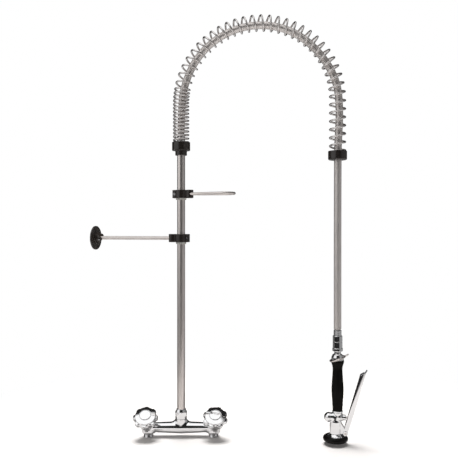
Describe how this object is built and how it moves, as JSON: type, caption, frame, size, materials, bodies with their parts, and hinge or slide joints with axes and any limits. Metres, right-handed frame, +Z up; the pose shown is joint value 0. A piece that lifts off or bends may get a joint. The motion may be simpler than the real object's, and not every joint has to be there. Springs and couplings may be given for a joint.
{
  "type": "pre-rinse tap",
  "caption": "Two-handle bridge tap with swivelling riser, sprung hose arch, hanging spray gun with squeeze lever, hook and wall stay.",
  "frame": {"origin": "midway between the two supply tails, at their lower ends", "axes": "+Z up along the riser, +X from the hot side to the cold side, -Y towards the user"},
  "size_m": [0.7618, 0.1854, 1.1576],
  "materials": {
    "chrome": "polished chrome plate",
    "stainless": "drawn stainless tube",
    "spring_wire": "bright sprung wire",
    "hose_braid": "woven stainless braid",
    "black_moulding": "glossy moulded plastic",
    "grip_black": "soft satin moulding",
    "bumper_rubber": "smooth moulded rubber",
    "seal_rubber": "O-ring rubber",
    "fibre": "pressed fibre",
    "ceramic": "lapped ceramic",
    "brass": "turned brass",
    "nylon": "moulded nylon",
    "screw_steel": "machined steel"
  },
  "bodies": {
    "mixer": {"mixer_body": "chrome", "hot_inlet_tail": "chrome", "cold_inlet_tail": "chrome", "inlet_washers": "fibre", "hot_headwork": "chrome", "cold_headwork": "chrome", "ceramic_seats": "ceramic", "riser_nut": "chrome"},
    "hot_handle": {"hot_knob": "chrome", "hot_cap": "chrome", "hot_knob_screw": "screw_steel", "hot_spindle": "brass", "hot_disc": "ceramic"},
    "cold_handle": {"cold_knob": "chrome", "cold_cap": "chrome", "cold_knob_screw": "screw_steel", "cold_spindle": "brass", "cold_disc": "ceramic"},
    "riser": {"riser_tail": "brass", "riser_seals": "seal_rubber", "riser_pipe": "stainless", "spring_collar": "black_moulding", "collar_screw": "screw_steel", "riser_hose_nut": "chrome", "hose_gasket": "fibre", "hose_ferrules": "chrome", "support_spring": "spring_wire", "spring_cup": "black_moulding", "supply_hose": "hose_braid"},
    "gun": {"hose_nut": "chrome", "gun_gasket": "fibre", "gun_inlet": "chrome", "handle_tube": "brass", "grip": "grip_black", "grip_ring": "chrome", "valve_body": "chrome", "dome_cap": "chrome", "valve_spring": "spring_wire", "packing_nut": "chrome", "stem_seal": "seal_rubber", "lever_pin": "stainless", "spray_dish": "chrome", "spray_face": "chrome", "bumper": "bumper_rubber"},
    "valve_stem": {"valve_stem": "stainless", "seat_washer": "seal_rubber"},
    "lever": {"lever": "chrome"},
    "lock_ring": {"lock_ring": "stainless"},
    "hook_bush": {"hook_bush": "nylon"},
    "hook_arm": {"hook_clamp": "black_moulding", "hook_screw": "screw_steel", "hook_loop": "stainless"},
    "stay_bush": {"stay_bush": "nylon"},
    "stay_arm": {"stay_clamp": "black_moulding", "stay_screw": "screw_steel", "stay_rod": "stainless"},
    "wall_flange": {"wall_flange": "black_moulding", "flange_screw": "screw_steel"}
  },
  "joints": [
    {"name": "hot_turn", "type": "hinge", "parent": "mixer", "child": "hot_handle", "pos_m": [-0.0953, 0, 0.025], "axis": [0, -0.6088, 0.7934], "range_deg": [0, 90]},
    {"name": "cold_turn", "type": "hinge", "parent": "mixer", "child": "cold_handle", "pos_m": [0.0953, 0, 0.025], "axis": [0, -0.6088, 0.7934], "range_deg": [0, 90]},
    {"name": "riser_swivel", "type": "hinge", "parent": "mixer", "child": "riser", "pos_m": [0, 0, 0.064], "axis": [0, 0, 1], "continuous": true},
    {"name": "gun_swivel", "type": "hinge", "parent": "riser", "child": "gun", "pos_m": [0.42334, -0.0595, 0.28], "axis": [0, 0, 1], "continuous": true},
    {"name": "lever_squeeze", "type": "hinge", "parent": "gun", "child": "lever", "pos_m": [0.44344, -0.06232, 0.03], "axis": [-0.1392, -0.9903, 0], "range_deg": [0, 14.5], "stiffness_Nm_per_rad": 3, "springref_deg": -11.46},
    {"name": "stem_slide", "type": "slide", "parent": "gun", "child": "valve_stem", "axis": [-0.9903, 0.1392, 0], "range_m": [0, 0.0108], "deforming": ["valve_spring"]},
    {"name": "lock_ring_tilt", "type": "hinge", "parent": "gun", "child": "lock_ring", "pos_m": [0.42334, -0.0595, 0.2277], "axis": [0.1392, 0.9903, 0], "range_deg": [0, 30]},
    {"name": "hook_height", "type": "slide", "parent": "riser", "child": "hook_bush", "axis": [0, 0, 1], "range_m": [-0.03, 0.08]},
    {"name": "hook_swing", "type": "hinge", "parent": "hook_bush", "child": "hook_arm", "pos_m": [0, 0, 0.6715], "axis": [0, 0, 1], "continuous": true},
    {"name": "stay_height", "type": "slide", "parent": "riser", "child": "stay_bush", "axis": [0, 0, 1], "range_m": [-0.15, 0.04]},
    {"name": "stay_swing", "type": "hinge", "parent": "stay_bush", "child": "stay_arm", "pos_m": [0, 0, 0.5495], "axis": [0, 0, 1], "continuous": true},
    {"name": "flange_turn", "type": "hinge", "parent": "stay_arm", "child": "wall_flange", "pos_m": [-0.23337, 0.05603, 0.5495], "axis": [-0.9724, 0.2334, 0], "continuous": true}
  ],
  "couplings": [
    {"joint": "stem_slide", "follows": "lever_squeeze", "m_per_rad": 0.0423}
  ]
}
